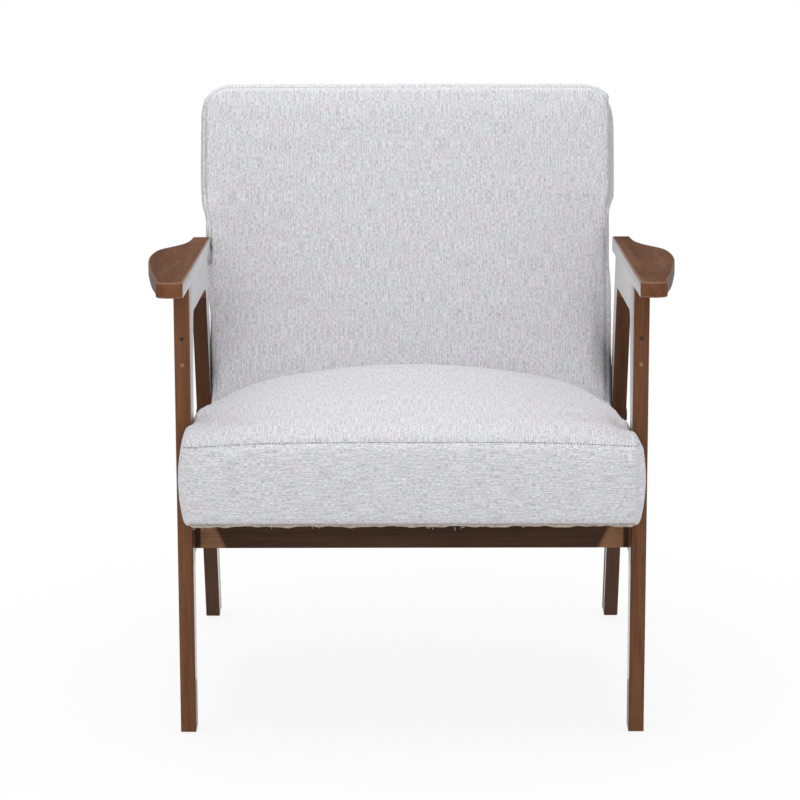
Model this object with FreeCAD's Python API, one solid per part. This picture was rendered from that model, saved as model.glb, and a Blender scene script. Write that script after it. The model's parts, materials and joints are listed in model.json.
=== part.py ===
import FreeCAD, Part
import math
import os

# Accent chair: two flat wooden side frames carry a crowned seat and a leaning back.
# Millimetres, +Z up, the floor at Z = 0, and the chair looks towards -Y.
# Depths are counted from the front faces of the front legs until the parts are written.
# Right-hand pieces, at +X, are drawn, and left-hand ones are their mirror images.

os.makedirs("parts", exist_ok=True)

Vector = FreeCAD.Vector
along_x = Vector(1, 0, 0)
along_y = Vector(0, 1, 0)
along_z = Vector(0, 0, 1)
origin = Vector(0, 0, 0)

# Side frames: planks of one thickness, glued flush
inside_width = 564.0
plank = 20.0
edge_round = 2.5
soft_gap = 0.4
overrun = 40.0

# Armrests: a flat board that widens and narrows again, sloping down to the back
arm_height = 612.0
arm_slope_deg = 3.8
arm_thickness = 20.0
arm_nose_reach = 106.0
arm_nose_swell = 9.0
arm_tail_reach = 450.0
arm_widest = 65.0
arm_edge_round = 3.0
arm_corner_round = 5.0
# share of the arm's length from nose to tail, and share of its widest place
arm_edge_shares = [(0.0, 0.515), (0.049, 0.555), (0.131, 0.66), (0.264, 0.80), (0.363, 0.89), (0.455, 0.965),
                   (0.54, 1.0), (0.626, 0.985), (0.71, 0.885), (0.784, 0.64), (0.86, 0.46), (0.93, 0.40),
                   (1.0, 0.385)]

# Front legs: upright, widening in a slow bend towards the arm
front_foot_depth = 36.0
front_bend_depth = 47.0
front_bend_height = 418.0
front_bend_length = 100.0
front_neck_depth = 75.0
front_corner_length = 13.0
leg_plug_heights = [526.0, 492.0]
leg_plug_radius = 2.5
leg_plug_length = 10.0

# Rear legs: leaning back to the foot and wider at the top
rear_foot_place = 541.0
rear_lean_deg = 21.3
rear_foot_depth = 44.0
rear_top_depth = 56.0
rear_corner_length = 16.0

# Arm rails, under the arms, and the rails that carry the seat
arm_rail_depth = 39.0
seat_rail_depth = 52.0
front_rail_place = 81.0
rear_rail_place = 318.0
cross_rail = 20.0
corner_block_leg = 42.0
corner_block_height = 30.0

# Foot glides
glide_radius = 8.0
glide_height = 2.5

# Seat cushion: its base slopes down to the back, its front reaches round the front legs
seat_base_height = 294.0
seat_slope_deg = 4.5
seat_front_reach = 63.0
seat_length = 500.0
seat_side_height = 120.0
seat_crown = 62.0
seat_foot_width = 577.0
seat_seam_width = 580.0
seat_swell = 6.0
seat_swell_share = 0.68
crown_break_share = 0.68
crown_break_drop_share = 0.33
seat_front_round = 14.0
# share of the length, of the side height, of the crown and of the front rounding
seat_station_shares = [(0.0, 0.85, 0.08, 1.0), (0.014, 0.865, 0.10, 0.28), (0.04, 0.92, 0.13, 0.0),
                       (0.13, 1.0, 0.20, 0.0), (0.25, 1.01, 0.34, 0.0), (0.43, 0.945, 0.62, 0.0),
                       (0.67, 0.825, 0.96, 0.0), (0.91, 0.745, 1.02, 0.0), (1.0, 0.73, 0.95, 0.0)]

# Back cushion, drawn upright and then leaned
back_foot_place = 353.3
back_foot_lift = 0.8
recline_deg = 16.0
back_length = 552.0
back_thickness = 92.0
back_lower_width = 563.0
back_upper_width = 576.0
back_corner_radius = 40.0
back_edge_radius = 14.0
back_edge_share = 0.4
back_front_crown = 13.0
back_rear_crown = 4.0
# share of the length, of the widening above the arms and of the crown
back_station_shares = [(0.0, 0.0, 0.15), (0.06, 0.0, 0.42), (0.12, 0.0, 0.6), (0.2, 0.0, 0.78),
                       (0.3, 0.0, 0.9), (0.45, 0.0, 1.0), (0.6, 0.0, 1.0), (0.625, 0.3, 0.99),
                       (0.65, 0.62, 0.98), (0.68, 0.84, 0.96), (0.72, 0.96, 0.93), (0.77, 1.0, 0.88),
                       (0.86, 1.0, 0.78)]
back_corner_turns_deg = [0.0, 15.0, 30.0, 45.0, 60.0, 73.0, 84.0]
back_top_crown_share = 0.3
seat_back_reach = 4.0

# Upholstery layers
cover_thickness = 1.5
layer_gap = 0.3
webbing_width = 50.0
webbing_thickness = 1.5
felt_thickness = 4.0
dust_cover_thickness = 0.8
cover_hem = 32.0

# Frame inside the seat
seat_board = 22.0
seat_board_width = 46.0
seat_board_front = 44.0
seat_board_rear_margin = 10.0
seat_board_side_margin = 2.4
seat_webs_along_count = 5
seat_webs_across_count = 4

# Frame inside the back
back_post_width = 30.0
back_post_depth = 40.0
back_post_front = 34.0
back_post_side_margin = 2.2
back_post_bottom = 10.0
back_post_top_margin = 47.0
back_rail_height = 38.0
back_lumbar_share = 0.42
back_webs_up_count = 3
back_webs_across_count = 4
back_panel_margin = 12.0

# Dowels, bolts, nuts and screws; dowels stand at shares of the leg's or rail's width
front_dowel_shares = (0.25, 0.7)
rear_dowel_shares = (0.58, 0.85)
rail_dowel_shares = (0.28, 0.72)
dowel_radius = 4.0
dowel_half_length = 18.0
dowel_arm_length = 14.0
hole_gap = 0.1
bolt_radius = 3.0
bolt_length = 58.0
bolt_head_radius = 8.5
bolt_head_height = 2.2
socket_radius = 2.3
socket_depth = 1.4
barrel_radius = 5.0
barrel_length = 14.0
barrel_inset = 12.0
insert_radius = 5.0
insert_length = 14.0
back_bolt_length = 48.0
back_bolt_heights = [330.0, 372.0]
back_bolt_depths = [56.0, 47.5]
screw_radius = 2.2
screw_head_radius = 4.5
screw_head_height = 3.0
screw_bite = 15.0
screw_inset = 14.0

# Values that follow from the ones above
inner = inside_width / 2
middle = inner + plank / 2
outer = inner + plank
arm_fall = math.tan(math.radians(arm_slope_deg))
arm_drop = arm_thickness / math.cos(math.radians(arm_slope_deg))
seat_fall = math.tan(math.radians(seat_slope_deg))
rear_lean = math.tan(math.radians(rear_lean_deg))
recline = math.tan(math.radians(recline_deg))
back_foot_height = seat_base_height - seat_fall * (back_foot_place + seat_front_reach) + back_foot_lift
root_half = math.sqrt(0.5)

pieces = {}


def arm_under(depth):
    return arm_height - arm_drop - arm_fall * depth


def arm_rail_under(depth):
    return arm_under(depth) - arm_rail_depth


def seat_base(depth):
    return seat_base_height - seat_fall * (depth + seat_front_reach)


def rail_top(depth):
    return seat_base(depth) - soft_gap


def rail_bottom(depth):
    return rail_top(depth) - seat_rail_depth


def front_leg_back(height):
    rise = (height - glide_height) / (front_bend_height - glide_height)
    return front_foot_depth + (front_bend_depth - front_foot_depth) * rise


def rear_leg_front(height):
    return rear_foot_place - rear_lean * height


def at(depth, height):
    return Vector(0, depth, height)


def crossing(line_a, line_b):
    """The point of the plane X = 0 where two lines, each given by two points, meet."""
    (a, b), (c, d) = line_a, line_b
    run_a, run_b = b - a, d - c
    turn = run_a.y * run_b.z - run_a.z * run_b.y
    share = ((c.y - a.y) * run_b.z - (c.z - a.z) * run_b.y) / turn
    return a + run_a * share


def eased_corner(before, corner, after, length):
    """Start, middle and end of the arc that rounds a corner, touching both runs."""
    to_before = (before - corner).normalize()
    to_after = (after - corner).normalize()
    half_angle = to_before.getAngle(to_after) / 2
    reach = length / math.cos(half_angle) - length * math.tan(half_angle)
    inward = (to_before + to_after).normalize()
    return corner + to_before * length, corner + inward * reach, corner + to_after * length


def outline(start, *steps):
    """A closed wire: a step of one point is a straight run, one of two points an arc."""
    edges = []
    here = start
    closing = () if steps[-1][-1] == start else ((start,),)
    for step in steps + closing:
        if len(step) == 1:
            edges.append(Part.LineSegment(here, step[0]).toShape())
        else:
            edges.append(Part.Arc(here, step[0], step[1]).toShape())
        here = step[-1]
    return Part.Wire(edges)


def board(wire, from_x, to_x):
    """A flat board: an outline drawn in the plane X = 0, thickened along X."""
    solid = Part.Face(wire).extrude(Vector(to_x - from_x, 0, 0))
    solid.translate(Vector(from_x, 0, 0))
    return solid


def sloped_board(front, rear, low, high, from_x, to_x):
    """A board between two depths, whose under and upper faces follow two height functions."""
    low_run = [at(front, low(front)), at(rear, low(rear))]
    wire = outline(low_run[0], (low_run[1],), (at(rear, high(rear)),), (at(front, high(front)),))
    return board(wire, from_x, to_x)


def mirrored(solid):
    return solid.mirror(origin, along_x)


def rounded(solid, radius, wanted):
    """The solid with those edges rounded whose middle point is wanted."""
    edges = [edge for edge in solid.Edges if wanted(edge.CenterOfMass)]
    return solid.makeFillet(radius, edges)


def both_sides(name, solid):
    pieces[name + "_right"] = solid
    pieces[name + "_left"] = mirrored(solid)


def rod(base, direction, length, radius):
    return Part.makeCylinder(radius, length, base, direction)


def near(value, target):
    return abs(value - target) < edge_round / 2


# Front leg, drawn from its foot up the bending back edge to the joint with the arm rail
def front_leg():
    foot_back = at(front_foot_depth, glide_height)
    bend = at(front_bend_depth, front_bend_height)
    neck = at(front_neck_depth, arm_rail_under(front_neck_depth))
    under_rail = at(front_neck_depth + overrun, arm_rail_under(front_neck_depth + overrun))
    slow = eased_corner(foot_back, bend, neck, front_bend_length)
    ease = eased_corner(bend, neck, under_rail, front_corner_length)
    joint_top = at(ease[2].y, arm_under(ease[2].y))
    wire = outline(at(0, glide_height), (foot_back,), (slow[0],), (slow[1], slow[2]), (ease[0],),
                   (ease[1], ease[2]), (joint_top,), (at(0, arm_under(0)),))
    solid = board(wire, inner, outer)
    return rounded(solid, edge_round, lambda c: near(c.y, 0) and not near(c.z, arm_under(0))), ease[2].y


# Rear leg, a tapered plank that leans, cut off level at the floor and along the arm above
def rear_leg():
    foot_front = at(rear_leg_front(glide_height), glide_height)
    top_height = (arm_under(0) - arm_fall * rear_foot_place) / (1 - arm_fall * rear_lean)
    top_front = at(rear_leg_front(top_height), top_height)
    top_back = at(top_front.y + rear_top_depth, arm_under(top_front.y + rear_top_depth))
    foot_back = at(foot_front.y + rear_foot_depth, glide_height)
    wire = outline(foot_front, (foot_back,), (top_back,), (top_front,))
    solid = board(wire, inner, outer)
    middle_height = (top_front.z + top_back.z) / 2
    upright_back = (foot_back.y + top_back.y) / 2
    behind = lambda c: c.z < middle_height - edge_round and c.y > upright_back - edge_round
    return rounded(solid, edge_round, lambda c: behind(c) or near(c.z, glide_height)), top_front


def arm_rail(joint_depth, leg_top):
    leg_line = (at(rear_leg_front(0), 0), leg_top)
    under_line = (at(0, arm_rail_under(0)), at(joint_depth, arm_rail_under(joint_depth)))
    corner = crossing(under_line, leg_line)
    ease = eased_corner(under_line[0], corner, leg_line[0], rear_corner_length)
    joint_top = at(joint_depth, arm_under(joint_depth))
    wire = outline(under_line[1], (ease[0],), (ease[1], ease[2]), (leg_top,), (joint_top,))
    return board(wire, inner, outer)


def seat_side_rail():
    leg_line = (at(front_leg_back(0), 0), at(front_bend_depth, front_bend_height))
    rear_line = (at(rear_leg_front(0), 0), at(rear_leg_front(front_bend_height), front_bend_height))
    ends = [at(0, 0), at(rear_foot_place, 0)]
    low_line = [at(end.y, rail_bottom(end.y)) for end in ends]
    high_line = [at(end.y, rail_top(end.y)) for end in ends]
    corners = [crossing(low_line, leg_line), crossing(low_line, rear_line),
               crossing(high_line, rear_line), crossing(high_line, leg_line)]
    return board(outline(corners[0], (corners[1],), (corners[2],), (corners[3],)), inner, outer)


# Armrest, drawn flat with its nose at zero and its inner edge on the frame's inner face
def armrest():
    slant = math.cos(math.radians(arm_slope_deg))
    length = (arm_nose_reach + arm_tail_reach) / slant
    edge_points = [Vector(across * arm_widest, along * length, 0) for along, across in arm_edge_shares]
    curve = Part.BSplineCurve()
    curve.interpolate(edge_points)
    nose_outer, tail_outer = edge_points[0], edge_points[-1]
    tail_inner = Vector(0, length, 0)
    nose = Part.Arc(origin, Vector(nose_outer.x / 2, -arm_nose_swell, 0), nose_outer)
    wire = Part.Wire([nose.toShape(), curve.toShape(), Part.LineSegment(tail_outer, tail_inner).toShape(),
                      Part.LineSegment(tail_inner, origin).toShape()])
    solid = Part.Face(wire).extrude(Vector(0, 0, -arm_thickness))
    half = arm_thickness / 2
    upright = lambda c: abs(c.z + half) < half / 2 and c.y < length / 2
    solid = rounded(solid, arm_corner_round, upright)
    rim = lambda c: abs(c.z + half) > half - edge_round and c.x > edge_round
    solid = rounded(solid, arm_edge_round, rim)
    solid.rotate(origin, along_x, -arm_slope_deg)
    solid.translate(Vector(inner, -arm_nose_reach, arm_height + arm_fall * arm_nose_reach))
    return solid


leg_solid, joint_depth = front_leg()
rear_solid, rear_top = rear_leg()
arm_rail_solid = arm_rail(joint_depth, rear_top)
side_rail_solid = seat_side_rail()
arm_solid = armrest()

# Dowels: upright ones hold the arm on the legs, level ones hold the rails between the legs
arm_dowel_places = [front_neck_depth * share for share in front_dowel_shares]
arm_dowel_places += [rear_top.y + rear_top_depth * share for share in rear_dowel_shares]


def upright_dowel(depth, gap):
    foot = Vector(middle, depth, arm_under(depth) - dowel_half_length - gap)
    return rod(foot, along_z, dowel_half_length + dowel_arm_length + 2 * gap, dowel_radius + gap)


def level_dowel(depth, height, gap):
    start = Vector(middle, depth - dowel_half_length - gap, height)
    return rod(start, along_y, 2 * (dowel_half_length + gap), dowel_radius + gap)


def level_dowel_places():
    arm_rail_middle = arm_rail_depth / 2
    front_height = arm_under(joint_depth) - arm_rail_middle
    rear_height = arm_under(rear_top.y) - arm_rail_middle
    places = [(joint_depth, front_height), (rear_leg_front(rear_height), rear_height)]
    for share in rail_dowel_shares:
        front_height = rail_bottom(front_bend_depth) + seat_rail_depth * share
        rear_depth = rear_leg_front(rail_bottom(rear_foot_place))
        rear_height = rail_bottom(rear_depth) + seat_rail_depth * share
        places += [(front_leg_back(front_height), front_height), (rear_leg_front(rear_height), rear_height)]
    return places


def doweled(gap):
    upright = [upright_dowel(depth, gap) for depth in arm_dowel_places]
    level = [level_dowel(depth, height, gap) for depth, height in level_dowel_places()]
    return upright, level


arm_dowels, rail_dowels = doweled(0)
upright_holes, level_holes = doweled(hole_gap)
wood_holes = upright_holes + level_holes

# Plugs: sunk flush into the front faces of the front legs
def leg_plug(height, gap):
    return rod(at(-gap, height) + along_x * middle, along_y, leg_plug_length + 2 * gap, leg_plug_radius + gap)


leg_plugs = [leg_plug(height, 0) for height in leg_plug_heights]
plug_holes = [leg_plug(height, hole_gap) for height in leg_plug_heights]


# Frame bolts: a flat head outside each side rail, a shank into a cross rail's end, a barrel nut across it
bolt_places = [front_rail_place + cross_rail / 2, rear_rail_place + cross_rail / 2]


def bolt_height(depth):
    return (rail_top(depth) + rail_bottom(depth)) / 2


def level_bolt(place, length, gap):
    shank = rod(place, -along_x, length + gap, bolt_radius + gap)
    if gap:
        return shank
    head = rod(place, along_x, bolt_head_height, bolt_head_radius)
    socket = rod(place + along_x * (bolt_head_height - socket_depth), along_x, socket_depth, socket_radius)
    return shank.fuse(head.cut(socket)).removeSplitter()


def frame_bolt(depth, gap):
    return level_bolt(Vector(outer, depth, bolt_height(depth)), bolt_length, gap)


def barrel_nut(depth, gap):
    across = outer - bolt_length + barrel_inset
    start = Vector(across, depth + cross_rail / 2 - barrel_length - gap, bolt_height(depth))
    return rod(start, along_y, barrel_length + gap, barrel_radius + gap)


frame_bolts = [frame_bolt(depth, 0) for depth in bolt_places]
frame_bolt_holes = [frame_bolt(depth, hole_gap) for depth in bolt_places]
barrel_nuts = [barrel_nut(depth, 0).cut(frame_bolt(depth, hole_gap)) for depth in bolt_places]
barrel_holes = [barrel_nut(depth, hole_gap) for depth in bolt_places]

# Cross rails between the side frames, with their blocks in the corners
def cross_rail_solid(place):
    bottom = bolt_height(place + cross_rail / 2) - seat_rail_depth / 2
    solid = sloped_board(place, place + cross_rail, lambda depth: bottom, rail_top, -inner, inner)
    holes = frame_bolt_holes + barrel_holes
    return solid.cut(holes + [mirrored(hole) for hole in holes])


def corner_block(place, towards):
    low = rail_top(place + max(towards, 0) * corner_block_leg) - corner_block_height
    corner = Vector(inner, place, low)
    wire = Part.makePolygon([corner, corner - along_x * corner_block_leg,
                             corner + along_y * (towards * corner_block_leg), corner])
    return Part.Face(wire).extrude(Vector(0, 0, corner_block_height))


block_ends = [(front_rail_place + cross_rail, 1), (rear_rail_place, -1)]


def block_screw(place, towards, gap):
    depth = place + towards * screw_inset
    low = rail_top(place + max(towards, 0) * corner_block_leg) - corner_block_height
    foot = Vector(inner - screw_inset, depth, low)
    length = seat_base(depth) + cover_thickness + screw_bite - low
    shank = rod(foot, along_z, length + gap, screw_radius + gap)
    if gap:
        return shank
    head = rod(foot - along_z * screw_head_height, along_z, screw_head_height, screw_head_radius)
    return shank.fuse(head).removeSplitter()


screws = [block_screw(place, towards, 0) for place, towards in block_ends]
screw_holes = [block_screw(place, towards, hole_gap) for place, towards in block_ends]
screw_holes += [mirrored(hole) for hole in screw_holes]
blocks = [corner_block(place, towards).cut(screw_holes) for place, towards in block_ends]


# Back cushion's form: level sections up its length, each a crowned front, eased corners and a rear
def back_stations():
    """Place up the back, half width, how far the front and rear draw in, and the crown's share."""
    lower, upper = back_lower_width / 2, back_upper_width / 2
    stations = [(share * back_length, lower + (upper - lower) * wide, 0.0, crown)
                for share, wide, crown in back_station_shares]
    turn_start = back_length - back_corner_radius
    last_crown = stations[-1][3]
    for turn_deg in back_corner_turns_deg:
        turn = math.radians(turn_deg)
        place = turn_start + back_corner_radius * math.sin(turn)
        half = upper - back_corner_radius * (1 - math.cos(turn))
        into_edge = max(place - (back_length - back_edge_radius), 0) / back_edge_radius
        drawn = back_edge_radius * (1 - math.sqrt(max(1 - into_edge ** 2, 0)))
        crown = last_crown + (back_top_crown_share - last_crown) * turn_deg / back_corner_turns_deg[-1]
        stations.append((place, half, drawn, crown))
    return stations


def back_section(place, half, drawn, crown_share, inset):
    radius = back_edge_radius - inset
    side = half - inset
    front = back_front_crown / 2 + inset + drawn
    rear = back_thickness - inset - drawn
    radius = min(radius, (rear - front) * back_edge_share)
    bulge = back_front_crown * crown_share
    rear_bulge = back_rear_crown * crown_share
    height = inset + place * (back_length - 2 * inset) / back_length
    reach = radius * root_half
    point = lambda x, y: Vector(x, y, height)
    return outline(
        point(-side + radius, front), (point(0, front - bulge), point(side - radius, front)),
        (point(side - radius + reach, front + radius - reach), point(side, front + radius)),
        (point(side, rear - radius),),
        (point(side - radius + reach, rear - radius + reach), point(side - radius, rear)),
        (point(0, rear + rear_bulge), point(-side + radius, rear)),
        (point(-side + radius - reach, rear - radius + reach), point(-side, rear - radius)),
        (point(-side, front + radius),),
        (point(-side + radius - reach, front + radius - reach), point(-side + radius, front)))


def back_form(inset):
    return Part.makeLoft([back_section(*station, inset) for station in back_stations()], True, True)


def leaned(solid):
    """Turns a solid drawn upright, front face on Y = 0, into the back's place."""
    solid = solid.copy()
    solid.rotate(origin, along_x, -recline_deg)
    solid.translate(at(back_foot_place, back_foot_height))
    return solid


# Seat cushion's form: upright sections from front to back, each a base, drawn-in sides and a crown
def shoulder(start, slope, end):
    """Middle point of the arc that leaves start at a slope and ends at end."""
    chord = end - start
    turn = math.atan2(abs(chord.z), abs(chord.x)) - slope
    sag = chord.Length / 2 * math.tan(turn / 2)
    outward = Vector(abs(chord.z), 0, abs(chord.x)).normalize()
    outward.x = math.copysign(outward.x, chord.x)
    return (start + end) / 2 + outward * sag


def seat_section(length_share, side_share, crown_share, round_share, inset):
    drawn = inset + seat_front_round * round_share
    depth = -seat_front_reach + inset + length_share * (seat_length - inset)
    base = seat_base(depth) + drawn
    side = seat_base(depth) + seat_side_height * side_share - drawn
    crown = seat_crown * crown_share
    foot, seam = seat_foot_width / 2 - drawn, seat_seam_width / 2 - drawn
    swell = max(foot, seam) + seat_swell
    point = lambda x, z: Vector(x, depth, z)
    break_x = seam * crown_break_share
    break_drop = crown * crown_break_drop_share
    slope = math.asin(2 * break_x * break_drop / (break_x ** 2 + break_drop ** 2))
    seams = [point(seam, side), point(-seam, side)]
    breaks = [point(break_x, side + crown - break_drop), point(-break_x, side + crown - break_drop)]
    shoulders = [shoulder(breaks[k], slope, seams[k]) for k in range(2)]
    swell_height = base + (side - base) * seat_swell_share
    return outline(point(-foot, base), (point(foot, base),), (point(swell, swell_height), seams[0]),
                   (shoulders[0], breaks[0]), (point(0, side + crown), breaks[1]), (shoulders[1], seams[1]),
                   (point(-swell, swell_height), point(-foot, base)))


def behind_seat(inset):
    """What the seat leaves free for the back: its front face, and all that lies behind its front edges."""
    limit = back_front_crown / 2 + seat_back_reach - soft_gap - inset
    corner = Vector(-outer, limit, -back_length)
    box = Part.makeBox(2 * outer, back_thickness + seat_length, 2 * back_length, corner)
    return [leaned(back_form(-soft_gap - inset)), leaned(box)]


def leg_notch(inset):
    """What the seat leaves free behind its front: the right side frame, from its front face back."""
    low = seat_base_height - seat_side_height
    high = seat_base_height + seat_side_height + seat_crown
    return Part.makeBox(overrun, seat_length + overrun, high - low,
                        Vector(inner - soft_gap - inset, -soft_gap - inset, low))


def seat_form(inset):
    solid = Part.makeLoft([seat_section(*station, inset) for station in seat_station_shares], True, False)
    notch = leg_notch(inset)
    return solid.cut([notch, mirrored(notch)] + behind_seat(inset))


seat_outer = seat_form(0)
seat_inner = seat_form(cover_thickness)
back_outer = back_form(0)
back_inner = back_form(cover_thickness)

# Frame inside the seat: a wide front board that fills the cushion's ears, two side boards and a rear one
seat_lift = cover_thickness + layer_gap


def seat_level(lift):
    return lambda depth: seat_base(depth) + lift


seat_frame_low = seat_level(seat_lift)
seat_frame_high = seat_level(seat_lift + seat_board)
board_front = -seat_board_front
board_joint = -soft_gap - cover_thickness - seat_board_side_margin
board_rear = back_foot_place - seat_board_rear_margin
board_side = inner - soft_gap - cover_thickness - seat_board_side_margin
board_inner = board_side - seat_board_width
front_board_half = seat_foot_width / 2 - cover_thickness - seat_board_side_margin
seat_front_board = sloped_board(board_front, board_joint, seat_frame_low, seat_frame_high,
                                -front_board_half, front_board_half)
seat_side_board = sloped_board(board_joint, board_rear, seat_frame_low, seat_frame_high,
                               board_inner, board_side)
seat_rear_board = sloped_board(board_rear - seat_board_width, board_rear, seat_frame_low, seat_frame_high,
                               -board_inner, board_inner)


def spread(low, high, count, width):
    """Places of the near edges of bands of one width, spread evenly between two limits."""
    step = (high - low - count * width) / (count + 1)
    return [low + step + k * (width + step) for k in range(count)]


# Webbing: bands along the seat, tacked to the front and rear boards, and bands across on top
web_front = board_front + seat_board_width / 2
web_rear = board_rear - seat_board_width / 2
web_side = board_inner + seat_board_width / 2
web_base = seat_lift + seat_board
webs_along = [sloped_board(web_front, web_rear, seat_level(web_base),
                           seat_level(web_base + webbing_thickness), place, place + webbing_width)
              for place in spread(-board_inner, board_inner, seat_webs_along_count, webbing_width)]
cross_base = web_base + webbing_thickness
webs_across = [sloped_board(place, place + webbing_width, seat_level(cross_base),
                            seat_level(cross_base + webbing_thickness), -web_side, web_side)
               for place in spread(board_joint, board_rear - seat_board_width,
                                   seat_webs_across_count, webbing_width)]
felt_base = cross_base + webbing_thickness
felt_top = felt_base + felt_thickness
felt = sloped_board(board_joint, board_rear - seat_board_width / 2, seat_level(felt_base),
                    seat_level(felt_top), -web_side, web_side)

# Foam of the seat: the cushion's inside above the felt
deck_low = seat_level(-overrun)
foam_floor = sloped_board(-seat_front_reach - overrun, seat_length, deck_low,
                          seat_level(felt_top + layer_gap), -seat_seam_width, seat_seam_width)
seat_foam = seat_form(cover_thickness + layer_gap).cut(foam_floor)

# Cover of the seat: a fabric skin turned in under the boards, and a dust cover inside its hem
hem_front = -seat_front_reach + cover_hem
hem_rear = back_foot_place - cover_hem
hem_side = inner - cover_hem
hem_opening = sloped_board(hem_front, hem_rear, deck_low, seat_level(cover_thickness + layer_gap),
                           -hem_side, hem_side)
seat_cover = seat_outer.cut(seat_inner).cut([hem_opening] + screw_holes)
dust_side = hem_side - layer_gap
dust_cover = sloped_board(hem_front + layer_gap, hem_rear - layer_gap,
                          seat_level(cover_thickness - dust_cover_thickness),
                          seat_level(cover_thickness), -dust_side, dust_side)

# Frame inside the back: posts, a top, a lumbar and a bottom rail, with webbing on its front
post_outer = back_lower_width / 2 - cover_thickness - back_post_side_margin
post_inner = post_outer - back_post_width
post_top = back_length - back_post_top_margin
post_rear = back_post_front + back_post_depth


def upright_box(x0, x1, y0, y1, z0, z1):
    return Part.makeBox(x1 - x0, y1 - y0, z1 - z0, Vector(x0, y0, z0))


def back_rail(low):
    high = low + back_rail_height
    return leaned(upright_box(-post_inner, post_inner, back_post_front, post_rear, low, high))


def back_web(x0, x1, layer, z0, z1):
    """A band on the front of the back's frame: layer 1 lies on the wood, layer 2 on layer 1."""
    return leaned(upright_box(x0, x1, back_post_front - layer * webbing_thickness,
                              back_post_front - (layer - 1) * webbing_thickness, z0, z1))


back_web_side = post_inner + back_post_width / 2
web_rail_low = back_post_bottom + back_rail_height
web_rail_high = post_top - back_rail_height
back_webs = [back_web(-back_web_side, back_web_side, 1, place, place + webbing_width)
             for place in spread(web_rail_low, web_rail_high, back_webs_across_count, webbing_width)]
back_webs += [back_web(place, place + webbing_width, 2, web_rail_low - back_rail_height / 2,
                       web_rail_high + back_rail_height / 2)
              for place in spread(-post_inner, post_inner, back_webs_up_count, webbing_width)]

# Back bolts: through each rear leg into a threaded insert in the back's post
back_bolt_places = []
for height, into in zip(back_bolt_heights, back_bolt_depths):
    face_depth = back_foot_place + recline * (height - back_foot_height)
    back_bolt_places.append(Vector(outer, face_depth + into / math.cos(math.radians(recline_deg)), height))


def insert(place, gap):
    start = Vector(post_outer + gap, place.y, place.z)
    return rod(start, -along_x, insert_length + 2 * gap, insert_radius + gap)


back_bolts = [level_bolt(place, back_bolt_length, 0) for place in back_bolt_places]
back_bolt_holes = [level_bolt(place, back_bolt_length, hole_gap) for place in back_bolt_places]
inserts = [insert(place, 0).cut(hole) for place, hole in zip(back_bolt_places, back_bolt_holes)]
insert_holes = [insert(place, hole_gap) for place in back_bolt_places]
back_holes = back_bolt_holes + insert_holes
both_bolt_holes = back_bolt_holes + [mirrored(hole) for hole in back_bolt_holes]

# Foam and cover of the back: foam before the frame, wadding behind it, a skin with its own outside panel
foam_form = back_form(cover_thickness + layer_gap)
web_face = back_post_front - 2 * webbing_thickness - layer_gap
front_space = upright_box(-outer, outer, -overrun, web_face, 0, back_length)
top_space = upright_box(-outer, outer, web_face, post_rear + layer_gap, post_top + layer_gap, back_length)
rear_space = upright_box(-outer, outer, post_rear + layer_gap, back_thickness + overrun, 0, back_length)
panel_side = back_lower_width / 2 - back_edge_radius - back_panel_margin
panel_top = back_length - back_corner_radius - back_panel_margin
panel_low = back_edge_radius + back_panel_margin


def panel_space(gap):
    return upright_box(-panel_side - gap, panel_side + gap, post_rear, back_thickness + overrun,
                       panel_low - gap, panel_top + gap)


back_skin = back_outer.cut(back_inner)

# Every piece under its own name
both_sides("front_leg", leg_solid.cut(wood_holes + plug_holes))
both_sides("rear_leg", rear_solid.cut(wood_holes + back_bolt_holes))
both_sides("arm_rail", arm_rail_solid.cut(wood_holes))
both_sides("seat_side_rail", side_rail_solid.cut(wood_holes + frame_bolt_holes))
both_sides("armrest", arm_solid.cut(upright_holes))
pieces["front_rail"] = cross_rail_solid(front_rail_place)
pieces["rear_rail"] = cross_rail_solid(rear_rail_place)
both_sides("seat_frame_side", seat_side_board.cut(screw_holes))
pieces["seat_frame_front"] = seat_front_board
pieces["seat_frame_rear"] = seat_rear_board
pieces["seat_felt"] = felt
pieces["seat_foam"] = seat_foam
pieces["seat_cover"] = seat_cover
pieces["dust_cover"] = dust_cover
post = leaned(upright_box(post_inner, post_outer, back_post_front, post_rear, back_post_bottom, post_top))
both_sides("back_post", post.cut(back_holes))
pieces["back_top_rail"] = back_rail(post_top - back_rail_height)
pieces["back_lumbar_rail"] = back_rail(post_top * back_lumbar_share)
pieces["back_bottom_rail"] = back_rail(back_post_bottom)
pieces["back_foam"] = leaned(foam_form.common(front_space.fuse(top_space)))
pieces["back_wadding"] = leaned(foam_form.common(rear_space))
pieces["back_cover"] = leaned(back_skin.cut(panel_space(layer_gap))).cut(both_bolt_holes)
pieces["back_outside_panel"] = leaned(back_skin.common(panel_space(0)))


def glide(depth):
    return rod(Vector(middle, depth, 0), along_z, glide_height, glide_radius)


rear_foot_front = rear_leg_front(glide_height)
glides = [glide(front_foot_depth / 2), glide(rear_foot_front + rear_foot_depth / 2)]

# Like pieces that share one name, each a solid of its own, on both sides
pairs = {"arm_dowels": arm_dowels, "rail_dowels": rail_dowels, "frame_bolts": frame_bolts,
         "barrel_nuts": barrel_nuts, "corner_blocks": blocks, "seat_screws": screws,
         "back_bolts": back_bolts, "back_inserts": inserts, "foot_glides": glides, "leg_plugs": leg_plugs}
for name, solids in pairs.items():
    pieces[name] = Part.makeCompound(solids + [mirrored(solid) for solid in solids])
pieces["seat_webbing"] = Part.makeCompound(webs_along + webs_across)
pieces["back_webbing"] = Part.makeCompound(back_webs)

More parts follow.
